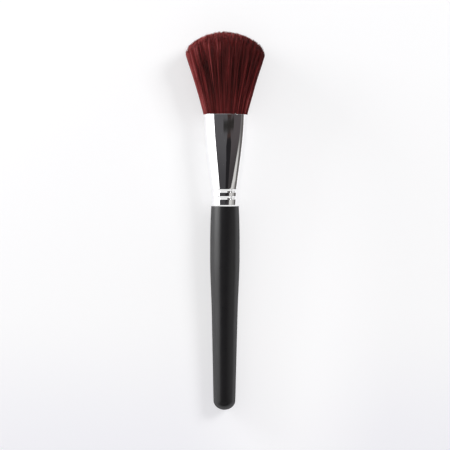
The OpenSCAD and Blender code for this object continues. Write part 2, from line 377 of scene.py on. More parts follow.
bright = shader("bright plated metal", (0.965, 0.965, 0.97), 0.04, Metallic=1)
add_unevenness(bright, grains=1800, stretch=12, roughness=0.04, spread=0.03, depth=0.0000004)

glue = shader("set glue", (0.55, 0.45, 0.25), 0.3, Transmission_Weight=0.3)
add_unevenness(glue, grains=900, stretch=1, roughness=0.3, spread=0.15, depth=0.00003)

resin = shader("cast resin", (0.45, 0.25, 0.08), 0.25, Transmission_Weight=0.3)
add_unevenness(resin, grains=500, stretch=1, roughness=0.25, spread=0.12, depth=0.00003)

thread = shader("waxed thread", (0.6, 0.53, 0.38), 0.7)
add_unevenness(thread, grains=3000, stretch=0.1, roughness=0.7, spread=0.2, depth=0.00008)

hair = hair_material(
    "wine red hair",
    dark=(0.008, 0.0022, 0.0018),
    light=(0.42, 0.05, 0.05),
    # the pinker colour of the palest hair, partly a painted sheen
    pale=(0.42, 0.1, 0.1),
    tip=(0.34, 0.048, 0.048),
    tip_share=0.2,
    roughness=0.45,
)
# The hair inside the tuft: a much darker copy of the hair, painted shade for hair deep in the tuft
hair_painted_in_shade = hair_material(
    "hair in the tuft's depths",
    dark=(0.012, 0.002, 0.002),
    light=(0.04, 0.006, 0.007),
    pale=(0.04, 0.006, 0.007),
    tip=(0.05, 0.008, 0.01),
    tip_share=0.3,
    roughness=0.7,
)

# Handle


def swell_ring(t):
    """Radius where the handle swells from its evenly tapered grip to its belly."""
    slope = (GRIP_R - BUTT_R) / (BELLY_AT - BELLY_LAND / 2 - SWELL - BUTT_ROUND)
    leave, arrive = t * (1 - t) ** 2, t * t * (3 - 2 * t)
    return mix(GRIP_R, BELLY_R, arrive) + slope * SWELL * leave


def handle_rings():
    """Rings of the turned handle, butt first, with its tenon."""
    belly_foot, belly_top = BELLY_AT - BELLY_LAND / 2, BELLY_AT + BELLY_LAND / 2
    swell_foot = belly_foot - SWELL
    shoulder_top = RIM_AT - SHOULDER_ROUND - SHOULDER_LAND
    outline = []
    for a in np.linspace(BUTT_TIP, 1, BUTT_RINGS) * pi / 2:
        outline.append((BUTT_R * sin(a), BUTT_ROUND * (1 - cos(a))))
    for t in np.linspace(0, 1, GRIP_RINGS)[1:]:
        outline.append((mix(BUTT_R, GRIP_R, t), mix(BUTT_ROUND, swell_foot, t)))
    for t in np.linspace(0, 1, SWELL_RINGS)[1:]:
        outline.append((swell_ring(t), mix(swell_foot, belly_foot, t)))
    outline.append((BELLY_R, BELLY_AT))
    for t in np.linspace(0, 1, SHOULDER_RINGS):
        outline.append((mix(BELLY_R, SHOULDER_R, t * t), mix(belly_top, shoulder_top, t)))
    for a in np.linspace(0, pi / 2, ROUND_RINGS)[1:]:
        across = SHOULDER_R - SHOULDER_ROUND * (1 - cos(a))
        outline.append((across, RIM_AT - SHOULDER_ROUND * (1 - sin(a))))
    for at in (0.0, TENON_FOOT, CRIMPS_AT[0] - CRIMP_W / 2):
        outline.append((TENON_R, RIM_AT + at))
    for at in CRIMPS_AT:
        for t in np.linspace(-1, 1, CRIMP_RINGS):
            z = at + t * CRIMP_W / 2
            outline.append((min(TENON_R, collar_r(z) - WALL - GLUE_LINE), RIM_AT + z))
    outline.append((TENON_R, RIM_AT + TENON - TENON_BEVEL))
    outline.append((TENON_R - TENON_BEVEL, RIM_AT + TENON))
    return [(r, r, z) for r, z in outline]


# Ferrule


def collar_r(z):
    """Outer radius of the round, crimped collar at a height above the rim."""
    groove = 0
    for at in CRIMPS_AT:
        off = abs(z - at)
        if off < CRIMP_W / 2:
            flank = sqrt((2 * off / CRIMP_W) ** 2 + CRIMP_SOFT**2)
            groove = CRIMP_DEPTH * (1 - flank) / (1 - CRIMP_SOFT)
    return mix(RIM_R, COLLAR_R, z / COLLAR) - max(groove, 0)


def ferrule_half(z):
    """Outer half width and half thickness of the ferrule at a height above the rim."""
    if z <= COLLAR:
        return collar_r(z), collar_r(z)
    t = (z - COLLAR) / (FERRULE - COLLAR)
    width = mix(COLLAR_R, MOUTH_HALF[0], sin(pi / 2 * t))
    thick = mix(COLLAR_R, MOUTH_HALF[1], (1 - cos(pi * t)) / 2) + SIDE_SWELL * sin(pi * t)
    return width, thick


def ferrule_rings():
    """Rings up the ferrule's outside, round its mouth, down its inside and round its rim."""
    foot, top = EDGE_ROUND, FERRULE - EDGE_ROUND
    heights = [
        foot,
        *np.linspace(foot + EDGE_STEP, COLLAR, COLLAR_RINGS),
        *np.linspace(COLLAR, top - EDGE_STEP, TUBE_RINGS)[1:],
        top,
    ]
    rings = []

    def bevel(z):
        return FOOT_BEVEL[0] * max(1 - z / FOOT_BEVEL[1], 0)

    def ring(z, inset, at):
        width, thick = ferrule_half(z)
        rings.append((width - inset, thick - inset, RIM_AT + at))

    for z in heights:
        ring(z, bevel(z), z)
    for a in np.linspace(0, pi, LIP_RINGS)[1:-1]:
        ring(top, WALL / 2 * (1 - cos(a)), top + EDGE_ROUND * sin(a))
    for z in reversed(heights):
        ring(z, WALL, z)
    for a in np.linspace(0, pi, LIP_RINGS)[1:-1]:
        ring(foot, mix(WALL, bevel(foot), (1 - cos(a)) / 2), foot - EDGE_ROUND * sin(a))
    return rings


# The tuft's form

# The fan of the hair in millimetres, as half width and half thickness: its size at the ferrule's
# mouth, how much it springs out just above it, and its growth with the height and its square
FAN_WIDTH = (10.06, 0.32, 0.262, 0.0014)
FAN_THICK = (6.16, 0.29, 0.155, 0.0009)
SPRING_OUT = 0.2

# The tuft's flat sides close in again above a height, with the square of the way
CLOSE_FROM, CLOSE_IN = 20, 0.0083

# The dome: the powers of its fall and of the shoulders' own fall, the flat sides' share of the
# fall, and the two ways in which the right is cut lower
DOME_POWER, SHOULDER_POWER, FLAT_SIDE_SHARE = 1.8, 16, 0.26
RIGHT_DIP, RIGHT_LEAN = 0.3, 0.02

# Where the tuft stands out at each shoulder: height, half height and share
RIGHT_FULL, LEFT_FULL = (29, 6, 0.005), (32.5, 3.8, 0.029)

# The girth's table: its steps, and how much wider the tuft is than thick
GIRTH_STEPS, WIDER = 1441, 1.6


def fan_half(h):
    """Half width and half thickness of the hair at a height above the ferrule's mouth."""
    spread = np.maximum(h, 0)
    sprung = 1 - np.exp(-spread / SPRING_OUT)
    width, thick = (
        mouth + spring * sprung + slope * spread + bend * spread**2
        for mouth, spring, slope, bend in (FAN_WIDTH, FAN_THICK)
    )
    return width, thick - CLOSE_IN * np.maximum(h - CLOSE_FROM, 0) ** 2


def dome_height(share, turn):
    """Height of the cut tips above the mouth, by place in the tuft: its share of the way out from
    the middle, and its turn round it. The tuft is thinner than it is wide, so its flat sides reach
    higher into the dome than its shoulders, and its right shoulder is cut a little lower."""
    reach = share**DOME_POWER * (np.cos(turn) ** 2 + FLAT_SIDE_SHARE * np.sin(turn) ** 2)
    fall = DOME_FALL * reach + SHOULDER_FALL * share**SHOULDER_POWER
    fall += RIGHT_DIP * share * (1 - share**2) * np.cos(turn)
    return TUFT - fall * (1 + RIGHT_LEAN * np.cos(turn))


def fullness(turn, h):
    """How much the tuft stands out beyond the even fan: a little at each shoulder."""
    across = np.cos(turn)
    total = 1
    for side, (height, half, share) in ((across, RIGHT_FULL), (-across, LEFT_FULL)):
        total = total + share * (np.maximum(side, 0) ** 2 * hump(h, height, half))
    return total


def girth_table():
    """Angles round the tuft, and how far round its girth each lies as a share."""
    turn = np.linspace(0, 2 * pi, GIRTH_STEPS)
    step = np.hypot(WIDER * np.sin(turn), np.cos(turn))
    way = np.concatenate([[0], np.cumsum((step[1:] + step[:-1]) / 2)])
    return turn, way / way[-1]


GIRTH_TURN, GIRTH_WAY = girth_table()


def turn_at(way):
    return np.interp(way % 1, GIRTH_WAY, GIRTH_TURN)


# Locks of the tuft's side

SEED = 20
rng = np.random.default_rng(SEED)

# The kinds of lock, with the widths and the depths that go with them, and their tones: middle and
# spread of the plain ones, lowest and highest of the others. The sunk ones' dark tones are painted
# shade.
PLAIN, SUNK, PALE = 0, 1, 2
LOCK_WIDTHS, LOCK_DEPTHS = (1.0, 0.8, 0.75), (0.016, 0.05, 0.008)
PLAIN_TONE, SUNK_SHADE_TONES, PALE_TONES = (0.24, 0.12), (-0.1, 0.04), (0.55, 1.2)

# How many of every second lock are plain or sunk, and how even the locks' widths are
SHADED_SHARES, WIDTH_EVENNESS = (0.2, 0.8), 4

# Where a lock stands out, in millimetres: its height and reach; how much it still does elsewhere,
# and the tone it then comes close to
LOCK_HEIGHTS, LOCK_REACHES, LEAST_SHARE, TYPICAL_TONE = (4, 38), (6, 17), 0.25, 0.25

# How unevenly locks are sunk, and where up the tuft they start, as shares
DEPTH_SPREAD, LOCK_STARTS = (0.3, 1.3), (0.15, 0.6)

LOW_COUNT, HIGH_COUNT = 96, 112


def lock_set(count):
    """Locks side by side round the girth: plain ones, narrow sunk ones painted dark as shade and
    narrow pale ones. Each has its edges, middle and half width as shares of the girth, and starts
    some way up the tuft."""
    n = np.arange(count)
    coin = rng.integers(0, 2, count)
    open_kind = np.where((n // 2 + coin[n // 4]) % 2, PALE, PLAIN)
    shaded_kind = rng.choice((PLAIN, SUNK), count, p=SHADED_SHARES)
    kind = np.where(n % 2, shaded_kind, open_kind)
    width = rng.gamma(WIDTH_EVENNESS, 1, count) * np.choose(kind, LOCK_WIDTHS)
    edges = np.concatenate([[0], np.cumsum(width)]) / width.sum()
    plain = rng.normal(*PLAIN_TONE, count)
    # the sunk locks' tones: painted shade
    sunk = rng.uniform(*SUNK_SHADE_TONES, count)
    pale = rng.uniform(*PALE_TONES, count)
    return {
        "edges": edges,
        "middle": (edges[1:] + edges[:-1]) / 2,
        "half": (edges[1:] - edges[:-1]) / 2,
        "tone": np.choose(kind, [plain, sunk, pale]),
        "height": rng.uniform(*LOCK_HEIGHTS, count),
        "reach": rng.uniform(*LOCK_REACHES, count),
        "sunk": np.choose(kind, LOCK_DEPTHS) * rng.uniform(*DEPTH_SPREAD, count),
        "start": rng.uniform(*LOCK_STARTS, count),
    }


def lock_at(locks, way):
    return np.searchsorted(locks["edges"], way % 1, side="right") - 1


def off_middle(locks, own, way):
    """How far off its lock's middle a hair lies, where 1 is the lock's edge."""
    return (way - locks["middle"][own]) / locks["half"][own]


# Locks near the ferrule and locks near the tips: a hair passes from one of each to the other
LOW_LOCKS = lock_set(LOW_COUNT)
HIGH_LOCKS = lock_set(HIGH_COUNT)

# How much higher or lower each high lock is cut, in millimetres, and how far it draws together
HIGH_LIFTS, HIGH_PULLS = (0, 0.15), (0.1, 0.4)
high_lift = rng.normal(*HIGH_LIFTS, HIGH_COUNT)
high_pull = rng.uniform(*HIGH_PULLS, HIGH_COUNT)


def lock_tone(locks, own, h):
    """A lock's tone along the tuft: it stands out from its neighbours over a part of it."""
    stands_out = mix(LEAST_SHARE, 1, hump(h, locks["height"][own], locks["reach"][own]))
    return mix(TYPICAL_TONE, locks["tone"][own], stands_out)


def patch_set(count, lowest=2, half=(1.3, 5.5), highest=38, spread=0.2):
    """Short stretches along the hair painted lighter or darker: painted patches of light and shade.
    """
    return {
        "height": rng.uniform(lowest, highest, count),
        "half": rng.uniform(*half, count),
        "tone": rng.normal(0, spread, count),
    }


# Painted patches of light and shade along the hair
PAINTED_PATCHES = [patch_set(count) for count in (230, 330, 330)]


def patch_tone(way, h, sets=PAINTED_PATCHES):
    total = 0
    for patches in sets:
        at = (way % 1 * len(patches["height"])).astype(int)
        total = total + patches["tone"][at] * hump(h, patches["height"][at], patches["half"][at])
    return total


# Locks in the cut crown, small and close together: the two powers of their tones' spread, how they
# are cut and how they lean, both in millimetres, and how far they draw together
CROWN_LOCKS = 650
CROWN_TONES, CROWN_LIFTS = (0.45, 1.15), (-0.22, 0.18)
CROWN_LEANS, CROWN_PULLS = (0, 0.16), (0.05, 0.4)
crown_share = np.sqrt(rng.uniform(0, 1, CROWN_LOCKS))
crown_turn = rng.uniform(0, 2 * pi, CROWN_LOCKS)
crown_places = np.stack([np.cos(crown_turn), np.sin(crown_turn)], axis=1) * crown_share[:, None]
crown_tone = rng.beta(*CROWN_TONES, CROWN_LOCKS)
crown_lift = rng.normal(*CROWN_LIFTS, CROWN_LOCKS)
crown_lean = rng.normal(*CROWN_LEANS, (CROWN_LOCKS, 2))
crown_pull = rng.uniform(*CROWN_PULLS, CROWN_LOCKS)

# Painted specks of light and shade near the tips, far smaller than the painted patches
PAINTED_SPECKS = [patch_set(count, lowest=27, half=(0.5, 1.5)) for count in (150, 190, 230, 260)]

# Hair tones, and the light and shade painted on the hair

# A hair's own tone: the two powers of its spread
OWN_TONE = (0.8, 2.2)

# How a hair's tone is shared between its lock and itself, and how strongly the painted specks show
# at the side and the painted patches in the crown
SIDE_LOCK, SIDE_OWN, SIDE_PAINTED_SPECKS = 0.75, 0.28, 0.6
CROWN_LOCK, CROWN_OWN, CROWN_PAINTED_PATCHES = 0.78, 0.22, 1.4

# Low locks are lifted and evened a little, and all locks are painted darker at their edges, as
# shade between them
LOW_LIFT, LOW_EVENED, LOW_EDGE_SHADE, HIGH_EDGE_SHADE = 0.1, 0.6, 0.1, 0.15

# How far the crown takes on the tone of the side beside it, in its middle and at its rim
CROWN_BESIDE = (0.25, 0.6)

# Painted light and shade on the side hair: heights in millimetres, with how light it is painted
# there and how much more so at the right
SIDE_PAINTED_SHADE = ((0, 8, 14, 23, 29, 34), (1.08, 0.86, 0.61, 0.6, 0.38, 0.43))
RIGHT_PAINTED_SHADE = ((3, 11, 18, 26, 34), (0.0, 0.12, 0.05, -0.65, -0.4))

# The last stretch of side hair, whose ends are painted lighter, as if they caught more light
BRIGHT_END, END_PAINTED_LIGHT = 3, 1.3

# Painted shade in the hollow right of the middle: place across as a share, half width, height, half
# height and how much darker it is painted
HOLLOW_ACROSS, HOLLOW_HEIGHT, HOLLOW_PAINTED_SHADE = (0.52, 0.27), (30, 5), 0.5

# The painted highlight down the tuft's left: its place round the girth, its half width low and high
# up, where it narrows, the power of its edges, its tone, and the share of it that even dark locks
# get
BAND_AT, BAND_HALF, BAND_HEIGHTS = 0.5, (0.083, 0.073), (8, 28)
BAND_POWER, BAND_PAINTED_LIGHT, BAND_BASE = 6, 0.42, 0.7

# Painted light on the upper left, which faces the light too: the heights where it begins and how
# far across it goes, how much its locks stand out from a middle one, and how much its tips gain,
# with the share of it that even dark locks get and the way over which it comes in
UPPER_HEIGHTS, UPPER_ACROSS = (25, 31), 0.3
LOCK_GAIN, MIDDLE_LOCK, TIP_GAIN, TIP_BASE, TIP_REACH = 0.45, 0.27, 0.1, 0.5, 6

# Light and shade painted on the crown: its painted light, the painted shade lost towards the right,
# how dark its depths are painted, and at the left, for a painted highlight, the stretch across, the
# gain, the power of the hair's own tone in it and its share in the depths
CROWN_TONE, CROWN_RIGHT_PAINTED_SHADE, CROWN_DEPTH_SHADE = 1.35, 1.05, 0.45
LEFT_STRETCH, LEFT_PAINTED_LIGHT, LEFT_POWER, LEFT_DEPTHS = (0.1, 0.72), 0.72, 0.3, 0.4


def painted_hollow_shade(across, h):
    """Painted shade: how much darker the hair right of the middle, under the cut crown, is painted.
    """
    return 1 - HOLLOW_PAINTED_SHADE * hump(across, *HOLLOW_ACROSS) * hump(h, *HOLLOW_HEIGHT)


def painted_left_band(way, h):
    """Where the painted highlight lies, on the band of hair that faces the light at the left."""
    half = mix(*BAND_HALF, ramp(h, *BAND_HEIGHTS))
    return np.exp(-(((way - BAND_AT) / half) ** BAND_POWER))


def side_light(lock, tone, way, across, below_tip, h):
    """The tone of side hair in its place, with light and shade painted on it: lock is its locks'
    tone, and below_tip is minus the way that is left to its tip."""
    # painted shade by height and at the right
    tone = tone * np.interp(h, *SIDE_PAINTED_SHADE)
    tone *= 1 + np.interp(h, *RIGHT_PAINTED_SHADE) * across
    # painted light at the ends of the hair
    tone *= 1 + END_PAINTED_LIGHT * ramp(below_tip, -BRIGHT_END, 0) ** 2
    # painted shade in the hollow right of the middle
    tone *= painted_hollow_shade(across, h)
    # the painted highlight band at the left
    tone += BAND_PAINTED_LIGHT * painted_left_band(way, h) * (BAND_BASE + lock)
    # painted light on the upper left and its tips
    upper_left = ramp(h, *UPPER_HEIGHTS) * np.clip(UPPER_ACROSS - across, 0, 1)
    tips = TIP_GAIN * ramp(below_tip, -TIP_REACH, 0) * (TIP_BASE + lock)
    return tone + (LOCK_GAIN * (lock - MIDDLE_LOCK) + tips) * upper_left


def crown_painted_light(own, tone, across, h):
    """The tone of crown hair in its place, with light and shade painted on it: own is its lock's
    and its own tone.
    """
    # painted shade towards the right and in the depths, painted light at the left
    tone = tone * (CROWN_TONE - CROWN_RIGHT_PAINTED_SHADE * np.clip(across, 0, 1))
    tone *= mix(CROWN_DEPTH_SHADE, 1, CROWN_STOPS**2) * painted_hollow_shade(across, h)
    gain = LEFT_PAINTED_LIGHT * ramp(-across, *LEFT_STRETCH) * own**LEFT_POWER
    return tone + gain * mix(LEFT_DEPTHS, 1, CROWN_STOPS)


# Hair

# Where the stops of a hair lie along it
SIDE_STOPS = np.array([0, 0.1, 0.24, 0.4, 0.56, 0.72, 0.86, 0.95, 1])
CROWN_STOPS = np.array([0, 0.45, 0.8, 0.93, 1])

# How the hair is cut: the shape of its unevenness, and its size in millimetres from the shoulders
# to the flat sides, and from the middle of the crown to its rim
CUT_SHAPE, SIDE_CUT, CROWN_CUT = (-1, 0, 0.12), (1.3, 2.6), (1.0, 2.2)

# Side hair: where its foot is, how much lower deeper hair ends, how evenly it fills its layers, and
# how much of the outline the outmost hair takes
SIDE_FOOT, LAYER_FALL, LAYER_SHAPE, OUTMOST = -1.5, 80, (1, 2.2), 1.014

# Loose hair: how far its tips rise and stand out at most
STRAY_RISE, STRAY_OUT = 0.8, (0.005, 0.03)

# A side hair's passing from its low lock to its high one, as shares of the tuft's height
HANDOVER_SPREAD = 0.08

# How single hairs stray round the girth and wave, as shares of it, how round a lock is, and the
# powers of the height with which locks draw together and hairs stray
WANDER, WAVE, WAVE_TURNS, LOCK_ROUND = 0.0014, 0.0008, 8, 0.025
PULL_POWER, WANDER_POWER = 1.2, 1.5

# How far the side closes in again under the crown, and between which heights
SIDE_CLOSE, SIDE_CLOSE_HEIGHTS = 0.03, (24, 32)

# Crown hair: its length, from where up a whole hair it counts, from where on it leans, how far out
# it goes and how its single hairs lean
CROWN_LENGTH, CROWN_FROM, LEAN_FROM, CROWN_RIM, CROWN_SCATTER = 9, 0.75, 0.2, 0.99, 0.1

# Hair's slimmest and thickest, as shares, how early it tapers and how thin it gets
SLIM, TAPER_FROM, THINNEST = (0.75, 1.25), 0.07, 0.35


def side_hairs(name, count, depth, thickness, shade=1.0, stray=0.0):
    """Hairs round the tuft's outside, from inside the ferrule to their tips. depth is how far in
    from the outside the outmost and the inmost of them lie, as shares."""
    way = rng.uniform(0, 1, count)
    low, high = lock_at(LOW_LOCKS, way), lock_at(HIGH_LOCKS, way)
    off_low, off_high = off_middle(LOW_LOCKS, low, way), off_middle(HIGH_LOCKS, high, way)
    layer = 1 - depth[0] - (depth[1] - depth[0]) * rng.beta(*LAYER_SHAPE, count)
    turn = turn_at(way)
    tip = dome_height(layer, turn) + high_lift[high]
    tip += rng.triangular(*CUT_SHAPE, count) * mix(*SIDE_CUT, np.abs(np.sin(turn)))
    tip += stray * rng.uniform(0, STRAY_RISE, count) - LAYER_FALL * depth[0]

    # From here on each hair is a row of stops
    each = (count, 1)
    way, turn, tip, layer, low, high, off_low, off_high = (
        values[:, None] for values in (way, turn, tip, layer, low, high, off_low, off_high)
    )
    h = SIDE_FOOT + (tip - SIDE_FOOT) * SIDE_STOPS
    reach = np.clip(h / TUFT, 0, 1)
    start = HIGH_LOCKS["start"][high] + rng.uniform(-HANDOVER_SPREAD, HANDOVER_SPREAD, each)
    handover = ramp(reach - start, -HANDOVER_SPREAD, HANDOVER_SPREAD)

    path = way - HIGH_LOCKS["half"][high] * off_high * high_pull[high] * reach**PULL_POWER
    path += rng.normal(0, WANDER, each) * reach**WANDER_POWER
    path += WAVE * np.sin(rng.uniform(0, 2 * pi, each) + reach * WAVE_TURNS) * reach
    low_ridge = LOW_LOCKS["sunk"][low] + LOCK_ROUND * off_low**2
    high_ridge = HIGH_LOCKS["sunk"][high] + LOCK_ROUND * off_high**2
    out = OUTMOST * layer - mix(low_ridge, high_ridge, handover)
    out *= 1 - SIDE_CLOSE * ramp(h, *SIDE_CLOSE_HEIGHTS) ** 2
    out += stray * rng.uniform(*STRAY_OUT, each) * reach**2
    out *= fullness(turn, h)
    round_at = turn_at(path)
    width, thick = fan_half(h)
    at = np.stack([np.cos(round_at) * out * width, np.sin(round_at) * out * thick], axis=-1)

    # locks painted darker at their edges, as shade between them
    low_tone = LOW_LIFT + LOW_EVENED * lock_tone(LOW_LOCKS, low, h) - LOW_EDGE_SHADE * off_low**4
    high_tone = lock_tone(HIGH_LOCKS, high, h) - HIGH_EDGE_SHADE * off_high**4
    lock = mix(low_tone, high_tone, handover)
    # with painted patches of light and shade along the hair
    tone = SIDE_LOCK * lock + SIDE_OWN * rng.beta(*OWN_TONE, each) + patch_tone(path, h)
    tone = side_light(lock, tone, way, np.cos(turn), h - tip, h)
    # painted specks of light and shade near the tips
    tone += SIDE_PAINTED_SPECKS * patch_tone(path, h, PAINTED_SPECKS)
    # shade paints deeper hair darker
    return strands(name, at, h, SIDE_STOPS, tone * shade, thickness)


def nearest_crown_lock(places, at_once=2000):
    """The crown lock that each hair lies in, looked up for some hairs at once."""
    near = np.empty(len(places), int)
    for start in range(0, len(places), at_once):
        some = slice(start, start + at_once)
        gaps = ((places[some, None] - crown_places[None]) ** 2).sum(axis=2)
        near[some] = gaps.argmin(axis=1)
    return near


def crown_hairs(name, count, thickness):
    """The last stretch of the hairs inside the tuft, whose tips make its domed crown."""
    share = np.sqrt(rng.uniform(0, CROWN_RIM**2, count))
    turn = rng.uniform(0, 2 * pi, count)
    places = np.stack([share * np.cos(turn), share * np.sin(turn)], axis=1)
    near = nearest_crown_lock(places)
    tip = dome_height(share, turn) + crown_lift[near]
    tip += rng.triangular(*CUT_SHAPE, count) * mix(*CROWN_CUT, share**6)
    h = tip[:, None] - CROWN_LENGTH * (1 - CROWN_STOPS)

    half = np.stack(fan_half(h), axis=-1)
    late = ramp(CROWN_STOPS, LEAN_FROM, 1)[None, :, None]
    at = places[:, None] * half * fullness(turn[:, None], h)[..., None]
    at += (crown_places[near][:, None] * half - at) * crown_pull[near][:, None, None] * late
    at += (crown_lean[near][:, None] + rng.normal(0, CROWN_SCATTER, (count, 1, 2))) * late

    behind = np.arccos(places[:, :1]) * np.sign(places[:, 1:]) % (2 * pi)
    behind = np.interp(behind, GIRTH_TURN, GIRTH_WAY)
    beside = lock_tone(HIGH_LOCKS, lock_at(HIGH_LOCKS, behind), h)
    own = (CROWN_LOCK * crown_tone[near] + CROWN_OWN * rng.beta(*OWN_TONE, count))[:, None]
    tone = mix(own, beside, mix(*CROWN_BESIDE, share**3)[:, None])
    # painted patches, then the crown's painted light and shade and painted specks
    tone += CROWN_PAINTED_PATCHES * patch_tone(behind, h)
    tone = crown_painted_light(own, tone, places[:, :1], h) + patch_tone(behind, h, PAINTED_SPECKS)
    return strands(name, at, h, mix(CROWN_FROM, 1, CROWN_STOPS), tone, thickness)


def strands(name, at, h, along, tone, thickness):
    """Hairs as fine three-sided prisms that run out to points. at, h and tone give each hair's
    places, heights and tones, and along is how far up the hair each of them lies."""
    count, stops = h.shape
    rings = stops - 1
    spin = rng.uniform(0, 2 * pi, (count, 1, 1)) + turns(3)
    slim = thickness / 2 * rng.uniform(*SLIM, (count, 1))
    r = slim * np.clip((1 - along[:-1]) / TAPER_FROM, THINNEST, 1)
    ring = at[:, :-1, None] + np.stack([np.cos(spin), np.sin(spin)], -1) * r[..., None, None]
    level = np.broadcast_to(h[:, :-1, None, None], (count, rings, 3, 1))
    points = np.concatenate([ring, level], axis=-1).reshape(count, rings * 3, 3)
    tips = np.concatenate([at[:, -1], h[:, -1:]], axis=-1)[:, None]
    points = np.concatenate([points, tips], axis=1)
    points[..., 2] += MOUTH_AT
    size = rings * 3 + 1
    base = (np.arange(count) * size)[:, None]
    quads, triangles = [], []
    for k in range(rings - 1):
        for c in range(3):
            n = (c + 1) % 3
            quads.append((3 * k + c, 3 * k + n, 3 * k + 3 + n, 3 * k + 3 + c))
    last = 3 * (rings - 1)
    for c in range(3):
        triangles.append((last + c, last + (c + 1) % 3, size - 1))
    triangles.append((2, 1, 0))
    quads = (base[:, None] + np.array(quads)).reshape(-1, 4)
    triangles = (base[:, None] + np.array(triangles)).reshape(-1, 3)
    piece = piece_from(name, rested(points.reshape(-1, 3)), quads, triangles)
    tone = np.clip(tone, 0, 1)
    tones = np.concatenate([np.repeat(tone[:, :-1], 3, axis=1), tone[:, -1:]], axis=1)
    write_values(piece, "tone", tones.ravel())
    write_values(piece, "along", np.tile(np.append(np.repeat(along[:-1], 3), 1), count))
    add_hair_map(piece, count, size, quads, triangles)
    return piece


def rested(points, low=0.12, soft=1.2):
    """Hair that would reach below the surface lies on it instead. low is how near it comes and
    soft how early it turns, in millimetres."""
    z = placed(points)[:, 2] / MM
    push = np.where(z < low + soft, (low + soft - z) ** 2 / (4 * soft), 0)
    push = np.where(z < low - soft, low - z, push)
    points = points.copy()
    points[:, 1] += push
    return points


def write_values(piece, name, values):
    layer = piece.data.attributes.new(name, "FLOAT", "POINT")
    layer.data.foreach_set("value", np.asarray(values, np.float32))


# A hair's strip on its map: how many times taller than wide, and its bare margins as shares
STRIP_TALL, SIDE_MARGIN, END_MARGIN = 6, 0.15, 0.05


def add_hair_map(piece, count, size, quads, triangles):
    """A map that gives each hair an upright strip of its own, for carrying its colours."""
    columns = int(np.ceil(sqrt(count * STRIP_TALL)))
    rows = int(np.ceil(count / columns))
    n = np.arange(count)
    left, low = n % columns / columns, n // columns / rows
    point = np.arange(size)
    side = np.where(point == size - 1, 1, point % 3) / 2
    level = point // 3 / (size // 3)
    u = left[:, None] + (SIDE_MARGIN + (1 - 2 * SIDE_MARGIN) * side) / columns
    v = low[:, None] + (END_MARGIN + (1 - 2 * END_MARGIN) * level) / rows
    spots = np.stack([u, v], axis=-1).reshape(-1, 2)
    corners = np.concatenate([quads.ravel(), triangles.ravel()])
    layer = piece.data.uv_layers.new(name="OFBake")
    layer.data.foreach_set("uv", spots[corners].astype(np.float32).ravel())


# The core under the hair: how far its dome lies under the cut tips, its share of the fan at the
# root and above the mouth, where its dome begins and ends as shares of the way out, and how far up
# a hair its colour comes from
CORE_SUNK, CORE_ROOT, CORE_SHARE = 1.8, 0.9, 0.94
CORE_DOME, CORE_ALONG, POLE_TONES = (0.93, 0.02), 0.3, [0.5, 0.5]


def tuft_core():
    """The mass of hair inside the tuft, from its bound root to under the cut tips."""
    turn = turns(CORE_SIDES)
    root_at = -ROOT_DEPTH - ROOT_BLOCK
    rings = []

    def ring(h, share):
        width, thick = fan_half(h)
        points = [width * share * np.cos(turn), thick * share * np.sin(turn), MOUTH_AT + h]
        rings.append(np.stack(points, axis=-1))

    for t in np.linspace(0, 1, ROOT_RINGS):
        ring(np.full(CORE_SIDES, root_at * (1 - t)), mix(CORE_ROOT, CORE_SHARE, t))
    crown_edge = dome_height(CORE_DOME[0], turn) - CORE_SUNK
    for t in np.linspace(0, 1, FAN_RINGS)[1:]:
        ring(crown_edge * t, CORE_SHARE)
    for share in np.linspace(*CORE_DOME, DOME_RINGS):
        ring(dome_height(share, turn) - CORE_SUNK, share)
    piece = ring_stack("hair_bundle", np.array(rings), closed=False)
    count = len(piece.data.vertices)
    tone = rng.uniform(0, 1, CORE_SIDES)
    write_values(piece, "tone", np.append(np.tile(tone, count // CORE_SIDES), POLE_TONES))
    write_values(piece, "along", np.full(count, CORE_ALONG))
    return piece


# Making the pieces

handle = ring_stack("turned_handle", oval_rings(handle_rings(), HANDLE_SIDES), closed=False)
finished(handle, lacquer, replaces=["handle"])

ferrule = ring_stack("bright_ferrule", oval_rings(ferrule_rings(), FERRULE_SIDES), closed=True)
finished(ferrule, bright, replaces=["ferrule"])

# the core in the much darker hair, painted shade
finished(tuft_core(), hair_painted_in_shade, replaces=["bristle_tuft"])

HAIR_PIECES = (
    side_hairs("hair_side_one", 2800, depth=(0.0, 0.03), thickness=0.17),
    side_hairs("hair_side_two", 2800, depth=(0.0, 0.03), thickness=0.17),
    # the under side hair painted at three tenths of its tone, as shade under the outer hair
    side_hairs("hair_under_side", 2400, depth=(0.035, 0.07), thickness=0.2, shade=0.3),
    side_hairs("loose_hairs", 90, depth=(0.0, 0.01), thickness=0.09, stray=1.0),
    crown_hairs("hair_crown_one", 6250, thickness=0.2),
    crown_hairs("hair_crown_two", 6250, thickness=0.2),
)
for piece in HAIR_PIECES:
    finished(piece, hair, replaces=["bristle_tuft"])

for name, material in (("handle_glue", glue), ("root_resin", resin), ("binding_thread", thread)):
    for held in frame["nodes"][name].material_slots:
        held.material = material

# Table

FLOOR_HALF = 6.0

# The table's whites where it is seen or mirrored: at the picture's foot, on the rest of its page,
# in a pool of light painted right of the handle and far out in the room
FOOT_WHITE, PAGE_WHITE = (0.473, 0.468, 0.502), (0.536, 0.533, 0.537)
PAINTED_POOL_WHITE, FAR_WHITE = (0.605, 0.6, 0.605), (0.95, 0.95, 0.95)

# Where they pass into each other, in metres
FOOT_TO_PAGE, PAGE_TO_FAR = (-0.118, -0.04), (0.2, 0.55)
PAINTED_POOL_AT, PAINTED_POOL_HALF = (0.03, -0.04, 0), (0.06, 0.15, 1)


